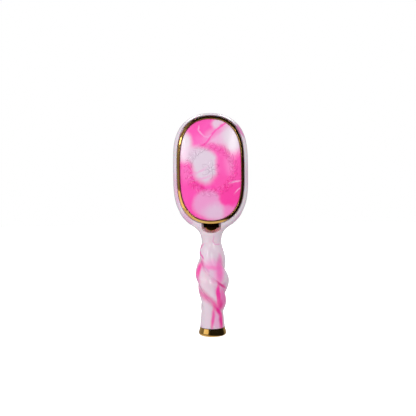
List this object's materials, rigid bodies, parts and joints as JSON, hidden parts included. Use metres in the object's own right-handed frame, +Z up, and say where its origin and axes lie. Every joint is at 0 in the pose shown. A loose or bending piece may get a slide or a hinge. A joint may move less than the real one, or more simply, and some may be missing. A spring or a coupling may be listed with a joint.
{
  "type": "oval cushion hairbrush",
  "caption": "Oval cushion hairbrush with a twisted handle, gold trim and a hinged back lid that hides a mirror and a storage well.",
  "frame": {"origin": "centre of the end cap's flat foot, at the bottom of the handle", "axes": "+Z up the handle to the head, +Y out of the bristles, so the lid in the back of the head faces -Y"},
  "size_m": [0.0746, 0.0467, 0.2202],
  "materials": {
    "marbled_plastic": "glossy hot pink and pale lilac marbled plastic",
    "gold_plating": "mirror polished gold plating on moulded plastic",
    "inner_plastic": "satin pale pink moulded plastic",
    "cushion_rubber": "soft pale pink rubber",
    "pin_nylon": "semi-gloss pink nylon",
    "mirror_glass": "silvered glass",
    "adhesive_tape": "foam mounting tape",
    "liner_foam": "matt closed-cell foam sheet",
    "plain_steel": "plain steel"
  },
  "bodies": {
    "body": {"brush_body": "marbled_plastic", "front_bezel": "marbled_plastic", "cushion_pad": "cushion_rubber", "cushion_tray": "inner_plastic", "tray_screw_1": "plain_steel", "tray_screw_2": "plain_steel", "tray_screw_3": "plain_steel", "tray_screw_4": "plain_steel", "well_liner": "liner_foam", "hinge_pin": "plain_steel", "latch_spring": "plain_steel", "end_cap": "gold_plating", "cap_plug": "inner_plastic"},
    "lid": {"lid_panel": "marbled_plastic", "lid_ring": "gold_plating", "lid_frame": "inner_plastic", "mirror": "mirror_glass", "mirror_tape": "adhesive_tape"},
    "latch": {"thumb_latch": "gold_plating"},
    "pin_bed": {"pin_row_01": "pin_nylon", "pin_row_02": "pin_nylon", "pin_row_03": "pin_nylon", "pin_row_04": "pin_nylon", "pin_row_05": "pin_nylon", "pin_row_06": "pin_nylon", "pin_row_07": "pin_nylon", "pin_row_08": "pin_nylon", "pin_row_09": "pin_nylon", "pin_row_10": "pin_nylon", "pin_row_11": "pin_nylon", "pin_row_12": "pin_nylon", "pin_row_13": "pin_nylon"}
  },
  "joints": [
    {"name": "lid_hinge", "type": "hinge", "parent": "body", "child": "lid", "pos_m": [0, -0.01065, 0.2063], "axis": [-1, 0, 0], "range_deg": [0, 90]},
    {"name": "latch_slide", "type": "slide", "parent": "body", "child": "latch", "axis": [0, 0, -1], "range_m": [0, 0.0015], "stiffness_N_per_m": 300, "springref_m": -0.003, "deforming": ["latch_spring"]},
    {"name": "cushion_give", "type": "slide", "parent": "body", "child": "pin_bed", "axis": [0, -1, 0], "range_m": [0, 0.002], "stiffness_N_per_m": 3000, "springref_m": -0.0005}
  ]
}
